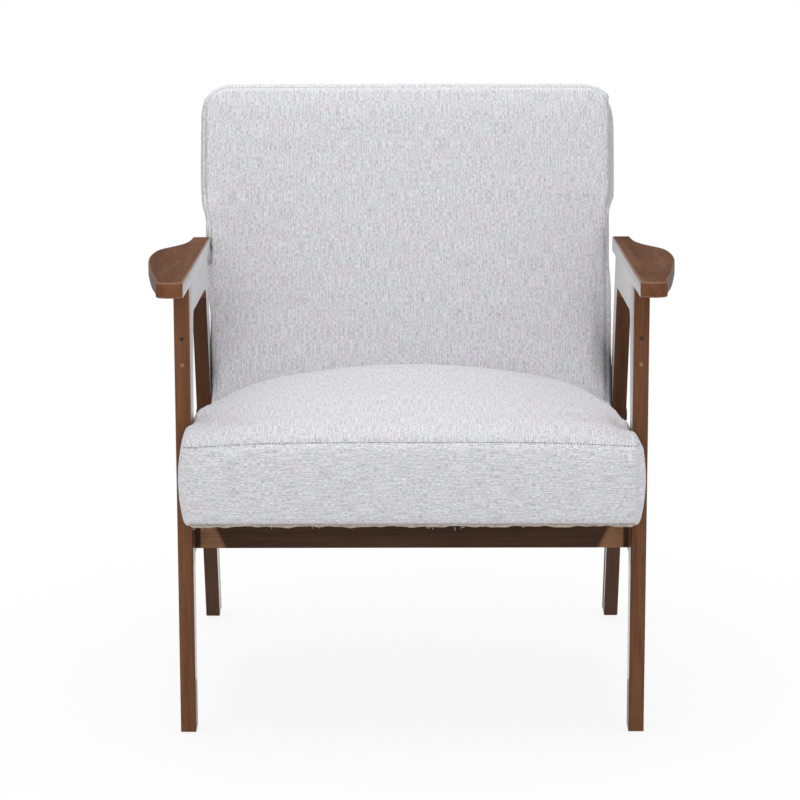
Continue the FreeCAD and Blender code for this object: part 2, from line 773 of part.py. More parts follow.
# The origin is the middle of the chair's outline on the floor
whole = Part.makeCompound(list(pieces.values())).optimalBoundingBox()
shift = Vector(0, -(whole.YMin + whole.YMax) / 2, 0)
for name, shape in pieces.items():
    shape.translate(shift)
    shape.exportStep("parts/" + name + ".step")

print("width", round(whole.XLength, 1), "depth", round(whole.YLength, 1), "height", round(whole.ZMax, 1))
print("depths moved by", round(shift.y, 2), "pieces", len(pieces))
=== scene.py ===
import bmesh
import bpy
import json
import math
import numpy as np
from mathutils import Matrix, Vector
from mathutils.bvhtree import BVHTree
from mathutils.kdtree import KDTree

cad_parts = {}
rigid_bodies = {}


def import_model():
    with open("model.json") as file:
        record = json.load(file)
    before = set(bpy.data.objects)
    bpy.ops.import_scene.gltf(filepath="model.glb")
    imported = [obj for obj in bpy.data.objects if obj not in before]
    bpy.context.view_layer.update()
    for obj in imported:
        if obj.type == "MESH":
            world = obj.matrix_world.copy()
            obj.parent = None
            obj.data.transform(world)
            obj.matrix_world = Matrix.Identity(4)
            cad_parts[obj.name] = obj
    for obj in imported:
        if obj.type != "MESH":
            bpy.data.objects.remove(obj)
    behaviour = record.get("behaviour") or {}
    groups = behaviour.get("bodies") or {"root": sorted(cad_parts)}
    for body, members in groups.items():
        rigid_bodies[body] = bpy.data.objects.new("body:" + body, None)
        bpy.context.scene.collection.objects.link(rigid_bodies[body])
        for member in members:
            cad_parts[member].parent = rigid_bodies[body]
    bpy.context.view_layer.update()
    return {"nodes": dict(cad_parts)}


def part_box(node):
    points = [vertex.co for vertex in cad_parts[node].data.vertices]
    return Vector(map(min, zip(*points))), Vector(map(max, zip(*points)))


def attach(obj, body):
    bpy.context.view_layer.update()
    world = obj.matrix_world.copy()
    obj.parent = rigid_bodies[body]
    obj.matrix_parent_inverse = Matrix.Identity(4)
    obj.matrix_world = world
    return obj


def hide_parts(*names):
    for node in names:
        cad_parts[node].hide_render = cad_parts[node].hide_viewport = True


# The accent chair stands on the floor and faces -Y: two flat side frames of dark stained hardwood
# carry a crowned seat cushion and a leaning back cushion in a light grey slub linen weave.
for leftover in list(bpy.data.objects):
    bpy.data.objects.remove(leftover)
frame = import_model()
nodes = frame["nodes"]


# Front legs: upright planks of straight-grained hardwood, stained dark brown and lacquered satin.
# They are sawn flat, their long edges are eased with sandpaper, and they widen towards the arm.
def new_object(name, data):
    """An object for the data, standing unturned in the scene."""
    piece = bpy.data.objects.new(name, data)
    bpy.context.scene.collection.objects.link(piece)
    return piece


def mesh_of(shape, name):
    """The finished bmesh as a mesh; the bmesh is freed."""
    mesh = bpy.data.meshes.new(name)
    shape.to_mesh(mesh)
    shape.free()
    return mesh


def node_tools(tree):
    """Short ways to add nodes to a tree: each socket takes a value or another node's output."""
    def add(kind, sockets=None, **settings):
        node = tree.nodes.new(kind)
        for setting, value in settings.items():
            setattr(node, setting, value)
        for socket, value in (sockets or {}).items():
            if isinstance(value, bpy.types.NodeSocket):
                tree.links.new(value, node.inputs[socket])
            else:
                node.inputs[socket].default_value = value
        return node

    def calculate(operation, *values):
        return add("ShaderNodeMath", dict(enumerate(values)), operation=operation).outputs[0]

    def blend(share, first, second, blend_type="MIX"):
        sockets = {0: share, 6: first, 7: second}
        return add("ShaderNodeMix", sockets, data_type="RGBA", blend_type=blend_type).outputs[2]

    def remap(value, start, end, low=0.0, high=1.0, interpolation_type="LINEAR"):
        sockets = {"Value": value, "From Min": start, "From Max": end, "To Min": low, "To Max": high}
        return add("ShaderNodeMapRange", sockets, interpolation_type=interpolation_type).outputs["Result"]

    def ramp(source, *stops):
        colours = add("ShaderNodeValToRGB", {"Fac": source})
        stop_list = colours.color_ramp.elements
        while len(stop_list) < len(stops):
            stop_list.new(0.5)
        for stop, (position, colour) in zip(stop_list, stops):
            stop.position = position
            stop.color = (*colour, 1)
        return colours.outputs["Color"]

    return add, calculate, blend, remap, ramp


rail_low, rail_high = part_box("front_rail")
rail_middle = (rail_low.z + rail_high.z) / 2


def stained_hardwood(name, grain, tone=1.0, edge_highlight_strength=0.0, ends=1.0):
    """Dark brown stain over straight grain along the unit vector grain; end grain takes it redder."""
    material = bpy.data.materials.new(name)
    material.use_nodes = True
    material.node_tree.nodes.clear()
    add, calculate, blend, remap, ramp = node_tools(material.node_tree)
    place = add("ShaderNodeTexCoord").outputs
    turn = Vector(grain).rotation_difference(Vector((0, 0, 1))).to_euler()
    turned = add("ShaderNodeMapping", {"Vector": place["Object"], "Rotation": turn})
    drawn_out = add("ShaderNodeMapping", {"Vector": turned.outputs["Vector"], "Scale": (1.0, 1.0, 0.045)})
    growth = drawn_out.outputs["Vector"]

    def noise(source, scale, detail, roughness=0.5, distortion=0.0):
        sockets = {"Vector": source, "Scale": scale, "Detail": detail, "Roughness": roughness,
                   "Distortion": distortion}
        return add("ShaderNodeTexNoise", sockets).outputs["Fac"]

    bands = noise(growth, 46.0, 5.0, 0.62, 0.35)
    fibres = noise(growth, 420.0, 3.0)
    blotch = noise(place["Object"], 7.0, 2.0)
    stain_tones = ((0.30, (0.108, 0.044, 0.019)), (0.50, (0.152, 0.063, 0.029)), (0.72, (0.200, 0.088, 0.043)))
    stain = ramp(bands, *((at, [tone * part for part in colour]) for at, colour in stain_tones))
    fine = blend(0.45, stain, ramp(fibres, (0.36, (0.66, 0.62, 0.60)), (0.58, (1.06, 1.05, 1.04))), "MULTIPLY")
    uneven = blend(0.5, fine, ramp(blotch, (0.35, (0.84, 0.82, 0.80)), (0.65, (1.12, 1.12, 1.12))), "MULTIPLY")
    along = add("ShaderNodeVectorMath", {0: place["Normal"], 1: grain}, operation="DOT_PRODUCT")
    redder = blend(1.0, uneven, (1.45 * ends, 1.34 * ends, 1.26 * ends, 1), "MULTIPLY")
    end_grain = blend(calculate("POWER", along.outputs["Value"], 2.0), uneven, redder)

    # painted light and shade: the eased edges get a lighter painted highlight; the sides that face the cushions get a
    # painted silvery reflection at a glancing angle, and a near-black painted shade where the front rail meets them
    facing = add("ShaderNodeSeparateXYZ", {"Vector": place["Normal"]}).outputs
    position = add("ShaderNodeSeparateXYZ", {"Vector": place["Object"]}).outputs
    upward = calculate("MULTIPLY", facing["Z"], facing["Z"])
    oblique = calculate("MULTIPLY", upward, calculate("SUBTRACT", 1.0, upward))
    # painted highlight: oblique eased edges turn light beige in the base colour
    painted_edge_highlight = blend(calculate("MULTIPLY", oblique, 4.0 * edge_highlight_strength), end_grain, (0.52, 0.40, 0.30, 1))
    # painted reflection: the inward sides turn pale silvery grey in their base colour when seen at a glancing angle
    glance = remap(add("ShaderNodeLayerWeight").outputs["Facing"], 0.88, 0.93)
    inward = calculate("LESS_THAN", calculate("MULTIPLY", facing["X"], position["X"]), -0.2)
    from_rail = calculate("ABSOLUTE", calculate("SUBTRACT", position["Z"], rail_middle))
    open_side = calculate("GREATER_THAN", from_rail, (rail_high.z - rail_low.z) / 2 + 0.004)
    painted_sheen_share = calculate("MULTIPLY", calculate("MULTIPLY", glance, inward), open_side)
    with_painted_sheen = blend(painted_sheen_share, painted_edge_highlight, (0.66, 0.66, 0.67, 1))
    # painted shade: the inward sides are near black at the front rail's height
    painted_joint_shade = calculate("MULTIPLY", inward, calculate("SUBTRACT", 1.0, open_side))
    shaded = blend(painted_joint_shade, with_painted_sheen, (0.020, 0.016, 0.012, 1))

    # lacquer: a little rougher where the pores are, and rubbed dull on top
    dull = calculate("MULTIPLY_ADD", upward, 0.5, remap(fibres, 0.0, 1.0, 0.25, 0.16))
    pores = add("ShaderNodeBump", {"Height": fibres, "Strength": 0.06, "Distance": 0.0002})
    wood = add("ShaderNodeBsdfPrincipled", {"Base Color": shaded, "Roughness": dull, "IOR": 1.5,
                                            "Normal": pores.outputs["Normal"], "Specular IOR Level": 0.22})
    add("ShaderNodeOutputMaterial", {"Surface": wood.outputs["BSDF"]})
    return material


def sanded_copy(part, material, ease=0.0009, nose=0.0):
    """The CAD piece with its long edges eased: a merged copy that stands for the node."""
    shape = bmesh.new()
    shape.from_mesh(nodes[part].data)
    bmesh.ops.remove_doubles(shape, verts=shape.verts, dist=0.00002)
    bmesh.ops.dissolve_limit(shape, angle_limit=math.radians(1.0), verts=shape.verts, edges=shape.edges)
    if nose:
        # the lower inner edge is planed flush with the rail it is glued on
        shape.normal_update()
        for vert in shape.verts:
            if 0.282 < abs(vert.co.x) < 0.2845 and vert.normal.z < -0.05:
                vert.co.x = math.copysign(0.282, vert.co.x)
        front = min(vert.co.y for vert in shape.verts)
        upright = [edge for edge in shape.edges if len(edge.link_faces) == 2
                   and all(vert.co.y < front + 0.004 for vert in edge.verts)
                   and abs(edge.verts[0].co.z - edge.verts[1].co.z) > 0.01
                   and edge.calc_face_angle() > math.radians(15)]
        bmesh.ops.bevel(shape, geom=upright, offset=nose, offset_type="OFFSET", segments=5, profile=0.5,
                        affect="EDGES", clamp_overlap=True)
    sharp = [edge for edge in shape.edges
             if len(edge.link_faces) == 2 and edge.calc_face_angle() > math.radians(40)
             and not (nose and all(abs(vert.co.x) < 0.2825 for vert in edge.verts)
                      and any(face.normal.z < -0.7 for face in edge.link_faces))]
    bmesh.ops.bevel(shape, geom=sharp, offset=ease, offset_type="OFFSET", segments=2, profile=0.6,
                    affect="EDGES", clamp_overlap=True)
    mesh = mesh_of(shape, part + "_sanded")
    mesh.materials.append(material)
    mesh.shade_smooth()
    mesh.set_sharp_from_angle(angle=math.radians(14))
    piece = new_object(part + "_sanded", mesh)
    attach(piece, "root")
    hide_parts(part)


# the left leg is made paler than the right one
for side, tone in (("left", 1.18), ("right", 0.98)):
    sanded_copy("front_leg_" + side, stained_hardwood("stained_wood_leg_" + side, (0, 0, 1), tone))

# Rear legs: tapered planks of the same wood that lean back to the foot, with the grain along them.
# They are glued into the side frame and carry the bolts of the back cushion.
rear_lean = math.radians(21.3)
# their tone is made darker (0.61): partly painted shade from the seat above them
leaning_wood = stained_hardwood("stained_wood_leaning", (0, -math.sin(rear_lean), math.cos(rear_lean)), 0.61)
for side in ("left", "right"):
    sanded_copy("rear_leg_" + side, leaning_wood)

# Arm rails and seat side rails: the level members of each side frame, doweled between the legs.
# Their grain runs from front to back.
level_wood = stained_hardwood("stained_wood_level", (0, 1, 0), 0.95)
for part in ("arm_rail_left", "arm_rail_right", "seat_side_rail_left", "seat_side_rail_right"):
    sanded_copy(part, level_wood, ease=0.0002)

# Armrests: flat boards, cut in a long S-curve and rounded over by hand, glued and doweled on the frames.
# The left board is a little paler, and its front end shows lighter end grain.
for side, tone, ends in (("left", 1.12, 0.9), ("right", 1.02, 0.72)):
    # the eased edges of both boards carry a painted highlight (0.22)
    armrest_wood = stained_hardwood("stained_wood_armrest_" + side, (0, 1, 0), tone, edge_highlight_strength=0.22, ends=ends)
    sanded_copy("armrest_" + side, armrest_wood, ease=0.0006, nose=0.005)

# Front and rear rails: boards between the side frames that carry the seat, drawn tight by frame bolts.
# Along its middle the front rail is painted darker, as shade under the overhanging seat; towards the legs it is
# painted lighter, on a slant, as light falling on its ends.
cross_wood = stained_hardwood("stained_wood_cross", (1, 0, 0))
add, calculate, blend, remap, _ = node_tools(cross_wood.node_tree)
rail_place = add("ShaderNodeSeparateXYZ", {"Vector": add("ShaderNodeTexCoord").outputs["Object"]}).outputs
from_middle = calculate("ABSOLUTE", rail_place["X"])
shadow_slant = 0.47
slanted = calculate("MULTIPLY_ADD", rail_place["Z"], -shadow_slant, from_middle)
lit_end_start = 0.2575 - shadow_slant * rail_middle
lit_end_share = remap(slanted, lit_end_start - 0.004, lit_end_start + 0.004, interpolation_type="SMOOTHSTEP")
painted_light_and_shade = blend(lit_end_share, (0.57, 0.67, 0.79, 1), (2.7, 3.2, 3.45, 1))
# a thin, near-black painted shade at each end of the rail, beside the legs
joint_shade = remap(from_middle, 0.2765, 0.2785, 1.0, 0.22)
jointed = add("ShaderNodeVectorMath", {0: painted_light_and_shade, "Scale": joint_shade}, operation="SCALE")
rail_colour = cross_wood.node_tree.nodes["Principled BSDF"].inputs["Base Color"]
darkened = blend(1.0, rail_colour.links[0].from_socket, jointed.outputs["Vector"], "MULTIPLY")
cross_wood.node_tree.links.new(darkened, rail_colour)
for part in ("front_rail", "rear_rail"):
    sanded_copy(part, cross_wood)


# Hidden joinery: bare softwood corner blocks, beech dowels and the boards and posts inside the cushions.
# They are planed, glued and left without any finish.
def plain_finish(name, dark, light, roughness, speckle, stretch=(1, 1, 1), relief=0.0002, metallic=0.0):
    """A mottled finish between two colours: speckle per metre, stretched along an axis where it has grain."""
    material = bpy.data.materials.new(name)
    material.use_nodes = True
    tree = material.node_tree
    add, _, _, remap, ramp = node_tools(tree)
    place = add("ShaderNodeTexCoord").outputs["Object"]
    stretched = add("ShaderNodeMapping", {"Vector": place, "Scale": stretch}).outputs["Vector"]
    mottle = add("ShaderNodeTexNoise", {"Vector": stretched, "Scale": speckle, "Detail": 4.0}).outputs["Fac"]
    uneven = add("ShaderNodeBump", {"Height": mottle, "Strength": 0.3, "Distance": relief})
    shader = tree.nodes["Principled BSDF"]
    shader.inputs["Metallic"].default_value = metallic
    for socket, source in (("Base Color", ramp(mottle, (0.34, dark), (0.66, light))),
                           ("Roughness", remap(mottle, 0.0, 1.0, roughness - 0.08, roughness + 0.08)),
                           ("Normal", uneven.outputs["Normal"])):
        tree.links.new(source, shader.inputs[socket])
    return material


def finish_nodes(material, *parts):
    for part in parts:
        nodes[part].data.materials.clear()
        nodes[part].data.materials.append(material)


softwood_across = plain_finish("bare_softwood_across", (0.50, 0.36, 0.20), (0.72, 0.56, 0.35), 0.7, 160, (0.06, 1, 1))
softwood_along = plain_finish("bare_softwood_along", (0.50, 0.36, 0.20), (0.72, 0.56, 0.35), 0.7, 160, (1, 0.06, 1))
softwood_up = plain_finish("bare_softwood_upright", (0.50, 0.36, 0.20), (0.72, 0.56, 0.35), 0.7, 160, (1, 1, 0.06))
finish_nodes(softwood_across, "seat_frame_front", "seat_frame_rear", "back_top_rail", "back_lumbar_rail",
             "back_bottom_rail")
finish_nodes(softwood_along, "seat_frame_side_left", "seat_frame_side_right")
finish_nodes(softwood_up, "corner_blocks", "arm_dowels", "rail_dowels", "back_post_left", "back_post_right")

# Fastenings: dark bronzed bolts whose heads show on the outside of the frame, and zinc plated barrel nuts,
# inserts and screws inside the joints.
finish_nodes(plain_finish("bronzed_steel", (0.035, 0.028, 0.024), (0.075, 0.062, 0.052), 0.38, 900, metallic=0.9),
             "frame_bolts", "back_bolts")
finish_nodes(plain_finish("zinc_plate", (0.50, 0.50, 0.47), (0.70, 0.70, 0.69), 0.34, 1200, metallic=1.0),
             "barrel_nuts", "back_inserts", "seat_screws")

# Leg plugs: turned wooden plugs over the dowel holes in the front of each leg, stained with the frame.
# The upper one took the stain darker, the lower one shows lighter end grain.
plug_wood = plain_finish("stained_plug", (0.035, 0.018, 0.010), (0.060, 0.030, 0.018), 0.45, 700)
add, calculate, blend, _, _ = node_tools(plug_wood.node_tree)
plug_place = add("ShaderNodeSeparateXYZ", {"Vector": add("ShaderNodeTexCoord").outputs["Object"]}).outputs
plug_low, plug_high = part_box("leg_plugs")
lower_plug = calculate("LESS_THAN", plug_place["Z"], (plug_low.z + plug_high.z) / 2)
plug_colour = plug_wood.node_tree.nodes["Principled BSDF"].inputs["Base Color"]
lighter_end = blend(lower_plug, plug_colour.links[0].from_socket, (0.30, 0.17, 0.10, 1))
plug_wood.node_tree.links.new(lighter_end, plug_colour)
finish_nodes(plug_wood, "leg_plugs")

# Foot glides: discs of black moulded plastic with a fine pebbled face, nailed under the feet.
finish_nodes(plain_finish("glide_plastic", (0.020, 0.020, 0.020), (0.045, 0.045, 0.045), 0.55, 2500, relief=0.0001),
             "foot_glides")

# Suspension inside the cushions: woven elastic webbing with darker edge threads, and a pad of needled felt.
webbing_weave = plain_finish("elastic_webbing", (0.34, 0.26, 0.15), (0.60, 0.50, 0.33), 0.85, 420, (1, 1, 1), 0.0005)
felt_pad = plain_finish("needled_felt", (0.36, 0.34, 0.32), (0.66, 0.64, 0.60), 0.95, 800, (1, 1, 1), 0.0008)
finish_nodes(webbing_weave, "seat_webbing", "back_webbing")
finish_nodes(felt_pad, "seat_felt")

# Dust cover: black non-woven cambric, stapled under the seat to keep the filling in.
black_cambric = plain_finish("black_cambric", (0.012, 0.012, 0.012), (0.035, 0.035, 0.036), 0.92, 1500, relief=0.0004)
finish_nodes(black_cambric, "dust_cover")


# Seat cushion: foam on webbing and a wooden frame under a tight cover of grey slub linen weave.
# The cover is sewn from a front panel, a crowned top panel and side panels, and stapled below.
def slub_linen(name, tone=1.0):
    """Plain weave of uneven grey threads; the UV map holds metres along warp and weft."""
    material = bpy.data.materials.new(name)
    material.use_nodes = True
    material.node_tree.nodes.clear()
    add, _, blend, _, ramp = node_tools(material.node_tree)
    threads = add("ShaderNodeUVMap", uv_map="threads").outputs["UV"]

    def streaks(across, along, seed, detail):
        scaled = add("ShaderNodeMapping", {"Vector": threads, "Scale": (across, along, 1.0),
                                           "Location": (seed, seed * 1.7, 0)})
        sockets = {"Vector": scaled.outputs["Vector"], "Scale": 1.0, "Detail": detail, "Roughness": 0.55}
        return add("ShaderNodeTexNoise", sockets, noise_dimensions="2D").outputs["Fac"]

    def rib(direction):
        sockets = {"Vector": threads, "Scale": 165.0, "Distortion": 0.6, "Detail Scale": 3.0}
        return add("ShaderNodeTexWave", sockets, bands_direction=direction).outputs["Fac"]

    def mean_of(first, second, share):
        return add("ShaderNodeMix", {0: share, 2: first, 3: second}).outputs[0]

    warp = streaks(1150.0, 190.0, 3.1, 1.0)
    weft = streaks(190.0, 1150.0, 7.7, 1.0)
    slubs = streaks(620.0, 42.0, 1.3, 0.0)
    melange = streaks(1500.0, 1300.0, 5.5, 0.0)
    woven = mean_of(mean_of(warp, weft, 0.36), mean_of(slubs, melange, 0.5), 0.34)
    thread_tones = ((0.34, (0.385, 0.380, 0.398)), (0.48, (0.615, 0.612, 0.633)), (0.62, (0.80, 0.80, 0.82)))
    colour = ramp(woven, *((at, [tone * part for part in shade]) for at, shade in thread_tones))
    tint = ramp(streaks(60.0, 60.0, 9.1, 1.0), (0.35, (1.0, 0.985, 1.012)), (0.65, (0.985, 1.0, 0.995)))
    height = mean_of(mean_of(rib("X"), rib("Y"), 0.5), woven, 0.6)
    relief = add("ShaderNodeBump", {"Height": height, "Strength": 0.30, "Distance": 0.0006})
    cloth = add("ShaderNodeBsdfPrincipled", {
        "Base Color": blend(1.0, colour, tint, "MULTIPLY"), "Normal": relief.outputs["Normal"], "Roughness": 0.95,
        "Specular IOR Level": 0.12, "Sheen Weight": 0.12, "Sheen Roughness": 0.5,
        "Sheen Tint": (0.95, 0.95, 1.0, 1)})
    add("ShaderNodeOutputMaterial", {"Surface": cloth.outputs["BSDF"]})
    return material


linen = slub_linen("linen_weave")
shaded_boxing_linen = slub_linen("linen_weave_boxing", 0.80)


def settle(piece):
    """The piece's modifiers made into its plain mesh."""
    piece.data = bpy.data.meshes.new_from_object(piece.evaluated_get(bpy.context.evaluated_depsgraph_get()))
    piece.modifiers.clear()


def skin_of(name, parts, voxel, smooth_rounds):
    """One closed skin round the CAD pieces, in even quads, as a new object."""
    shape = bmesh.new()
    for part in parts:
        shape.from_mesh(nodes[part].data)
    bmesh.ops.remove_doubles(shape, verts=shape.verts, dist=0.00002)
    piece = new_object(name, mesh_of(shape, name))
    remesh = piece.modifiers.new("remesh", "REMESH")
    remesh.mode = "VOXEL"
    remesh.voxel_size = voxel
    smooth = piece.modifiers.new("smooth", "SMOOTH")
    smooth.factor = 0.5
    smooth.iterations = smooth_rounds
    settle(piece)
    return piece


def points_of(piece):
    flat = np.zeros(len(piece.data.vertices) * 3, np.float32)
    piece.data.vertices.foreach_get("co", flat)
    return flat.reshape(-1, 3).astype(float)


def move_points(piece, points):
    piece.data.vertices.foreach_set("co", points.astype(np.float32).ravel())
    piece.data.update()


def plump(piece, held, pressure, most):
    """Blows the cover up like foam under tight cloth: held points stay, others move at most that far."""
    start = points_of(piece)
    group = piece.vertex_groups.new(name="held")
    for weight in (1.0, 0.6, 0.3):
        found = np.nonzero(np.isclose(held, weight))[0]
        group.add([int(k) for k in found], weight, "REPLACE")
    cloth = piece.modifiers.new("cloth", "CLOTH")
    settings = cloth.settings
    settings.quality = 5
    settings.mass = 0.35
    settings.tension_stiffness = 20
    settings.compression_stiffness = 20
    settings.shear_stiffness = 8
    settings.bending_stiffness = 1.5
    settings.use_pressure = True
    settings.uniform_pressure_force = pressure
    settings.effector_weights.gravity = 0
    settings.vertex_group_mass = "held"
    cloth.collision_settings.use_collision = False
    scene = bpy.context.scene
    for step in range(1, 21):
        scene.frame_set(step)
    settled = piece.evaluated_get(bpy.context.evaluated_depsgraph_get())
    blown = np.zeros(len(start) * 3, np.float32)
    settled.data.vertices.foreach_get("co", blown)
    move = blown.reshape(-1, 3) - start
    far = np.linalg.norm(move, axis=1, keepdims=True)
    move *= most / (far + most)
    piece.modifiers.clear()
    scene.frame_set(1)
    move_points(piece, start + move)
    return piece


def finish_cover(piece, material):
    """One level of subdivision on the settled cover, and its material."""
    soften = piece.modifiers.new("soften", "SMOOTH")
    soften.factor = 0.5
    soften.iterations = 2
    divide = piece.modifiers.new("divide", "SUBSURF")
    divide.levels = divide.render_levels = 1
    settle(piece)
    piece.data.materials.clear()
    piece.data.materials.append(material)
    piece.data.shade_smooth()


def normals_of(piece):
    flat = np.zeros(len(piece.data.vertices) * 3, np.float32)
    piece.data.vertices.foreach_get("normal", flat)
    return flat.reshape(-1, 3).astype(float)


def draw_in(piece, line, depth, width):
    """Pulls the cover in along a seam line, like the tight thread does, and swells it a little beside it."""
    close = KDTree(len(line))
    for number, point in enumerate(line):
        close.insert(point, number)
    close.balance()
    points, outward = points_of(piece), normals_of(piece)
    found = [close.find(point)[1:] for point in points]
    far = np.array([distance for _, distance in found])
    near = far < 4 * width
    share = far[near] / width
    depth_here = np.broadcast_to(depth, len(line))[np.array([number for number, _ in found])[near]]
    pull = depth_here * (np.exp(-share ** 2) - 0.35 * np.exp(-(share - 2.2) ** 2 * 1.5))
    points[near] -= outward[near] * pull[:, None]
    move_points(piece, points)


def on_cover(piece, line, lift):
    """The seam line laid on the cover's surface, lifted by the thread's half thickness."""
    tree = BVHTree.FromObject(piece, bpy.context.evaluated_depsgraph_get())
    laid = []
    for point in line:
        place, outward, _, _ = tree.find_nearest(Vector(point))
        laid.append(place + outward * lift)
    return laid


# Sewing thread: grey polyester, in lock stitches that follow each seam. Each is a short bead of thread.
# The crown's side seams and the back's seams are sewn with a paler thread.
# both threads are darker than the cloth: partly their own grey, partly painted shade from the hollow of the seam
thread_finish = plain_finish("sewing_thread", (0.10, 0.10, 0.11), (0.19, 0.19, 0.205), 0.8, 3000)
pale_thread = plain_finish("pale_sewing_thread", (0.24, 0.24, 0.255), (0.40, 0.40, 0.42), 0.8, 3000)


def thread_tree(name, line_label, sizes, threads_label):
    """A geometry tree that takes a line, named sizes and a thread; also its inputs' identifiers by label."""
    tree = bpy.data.node_groups.new(name, "GeometryNodeTree")
    sockets = tree.interface.new_socket
    sockets(line_label, in_out="INPUT", socket_type="NodeSocketGeometry")
    identifiers = {}
    for label, size in sizes.items():
        socket = sockets(label, in_out="INPUT", socket_type="NodeSocketFloat")
        socket.default_value = size
        identifiers[label] = socket.identifier
    identifiers["Thread"] = sockets("Thread", in_out="INPUT", socket_type="NodeSocketMaterial").identifier
    sockets(threads_label, in_out="OUTPUT", socket_type="NodeSocketGeometry")
    add = node_tools(tree)[0]
    return tree, identifiers, add, add("NodeGroupInput").outputs


def places_along(add, line, spacing):
    """Points at even spacing along a line of edges."""
    curve = add("GeometryNodeMeshToCurve", {"Mesh": line}).outputs["Curve"]
    return add("GeometryNodeResampleCurve", {"Curve": curve, "Length": spacing}, mode="LENGTH").outputs["Curve"]


stitch_tree, stitch_inputs, add, given = thread_tree(
    "row_of_stitches", "Seam line", {"Pitch": 0.0036, "Stitch length": 0.0027, "Thread thickness": 0.0008},
    "Stitches")
bead = add("GeometryNodeMeshIcoSphere", {"Radius": 0.5, "Subdivisions": 2})
bead_size = add("ShaderNodeCombineXYZ", {"X": given["Stitch length"], "Y": given["Thread thickness"],
                                         "Z": given["Thread thickness"]})
bead_form = add("GeometryNodeTransform", {"Geometry": bead.outputs["Mesh"], "Scale": bead_size.outputs["Vector"]})
direction = add("GeometryNodeInputTangent").outputs["Tangent"]
facing = add("FunctionNodeAlignRotationToVector", {"Vector": direction}, axis="X")
uneven_pull = add("FunctionNodeRandomValue", {2: 0.78, 3: 1.10, "Seed": 4}, data_type="FLOAT")
row = add("GeometryNodeInstanceOnPoints", {
    "Points": places_along(add, given["Seam line"], given["Pitch"]), "Instance": bead_form.outputs["Geometry"],
    "Rotation": facing.outputs["Rotation"], "Scale": uneven_pull.outputs[1]})
real = add("GeometryNodeRealizeInstances", {"Geometry": row.outputs["Instances"]})
smooth_beads = add("GeometryNodeSetShadeSmooth", {"Geometry": real.outputs["Geometry"]})
dyed = add("GeometryNodeSetMaterial", {"Geometry": smooth_beads.outputs["Geometry"], "Material": given["Thread"]})
add("NodeGroupOutput", {"Stitches": dyed.outputs["Geometry"]})


def thread_along(name, lines, tree, values):
    """The tree's threads along one or more lines, as one plain mesh that rides with the cushion."""
    shape = bmesh.new()
    for line in lines:
        row_points = [shape.verts.new(point) for point in line]
        for first, second in zip(row_points, row_points[1:]):
            shape.edges.new((first, second))
    piece = new_object(name, mesh_of(shape, name))
    sewn = piece.modifiers.new("threads", "NODES")
    sewn.node_group = tree
    for identifier, value in values.items():
        sewn[identifier] = value
    settle(piece)
    return piece


def stitch_row(name, lines, thread, pitch, length, thickness):
    """Stitches along one or more seam lines."""
    piece = thread_along(name, lines, stitch_tree, {
        stitch_inputs["Pitch"]: pitch, stitch_inputs["Stitch length"]: length,
        stitch_inputs["Thread thickness"]: thickness, stitch_inputs["Thread"]: thread})
    piece.data.materials.clear()
    piece.data.materials.append(thread)
    piece.data.polygons.foreach_set("material_index", np.zeros(len(piece.data.polygons), np.int32))
    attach(piece, "root")


cover_low, cover_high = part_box("seat_cover")
leg_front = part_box("front_leg_right")[0].y
seat_fall = math.tan(math.radians(4.5))
base_front = cover_low.z + seat_fall * (cover_high.y - cover_low.y)
seam_middle, seam_corner, seam_half = 0.4036, 0.3960, 0.2885


def seat_base(y):
    return base_front - seat_fall * (y - cover_low.y)


def front_seam(x):
    """Height of the seam along the top of the front panel."""
    return seam_middle - (seam_middle - seam_corner) * (np.abs(x) / seam_half) ** 4


seat = skin_of("seat_cushion", ["seat_cover", "dust_cover"], 0.006, 4)
points = points_of(seat)
above_base = points[:, 2] - seat_base(points[:, 1])
seam_gap = np.abs(points[:, 2] - front_seam(points[:, 0]))
on_front = points[:, 1] < cover_low.y + 0.03
held = np.zeros(len(points))
held[(seam_gap < 0.012) & on_front] = 0.3
held[(seam_gap < 0.006) & on_front] = 0.6
held[above_base < 0.012] = 1.0
held[(points[:, 1] > leg_front + 0.002) & (np.abs(points[:, 0]) > 0.276)] = 1.0
held[points[:, 1] > 0.10] = 1.0
plump(seat, held, 4.0, 0.006)
finish_cover(seat, linen)


def rising(value, start, end):
    """0 before start, 1 after end, and a smooth S between them."""
    share = np.clip((value - start) / (end - start), 0, 1)
    return share * share * (3 - 2 * share)


# beside the side frames the crown is drawn down to the front corners; the right shoulder is the flatter one
points = points_of(seat)
across, deep, high = points.T
aside, to_right = np.abs(across), rising(across, -0.1, 0.1)
high -= 0.0042 * rising(aside, 0.250, 0.274) * rising(high, 0.350, 0.392) * rising(-deep, -0.13, -0.07)
beside_leg = np.exp(-((aside - 0.280) / 0.007) ** 2 - ((deep + 0.195) / 0.022) ** 2)
high += 0.0060 * beside_leg * rising(high, 0.370, 0.392)
high -= to_right * 0.0042 * rising(aside, 0.283, 0.290) * rising(-deep, 0.215, 0.235) * rising(high, 0.385, 0.400)
behind_leg = np.exp(-((deep + 0.105) / 0.04) ** 2)
high -= to_right * 0.0048 * rising(aside, 0.258, 0.274) * behind_leg * rising(high, 0.370, 0.392)
high -= to_right * 0.0035 * rising(aside, 0.235, 0.262) * rising(deep, 0.03, 0.08) * rising(high, 0.330, 0.355)
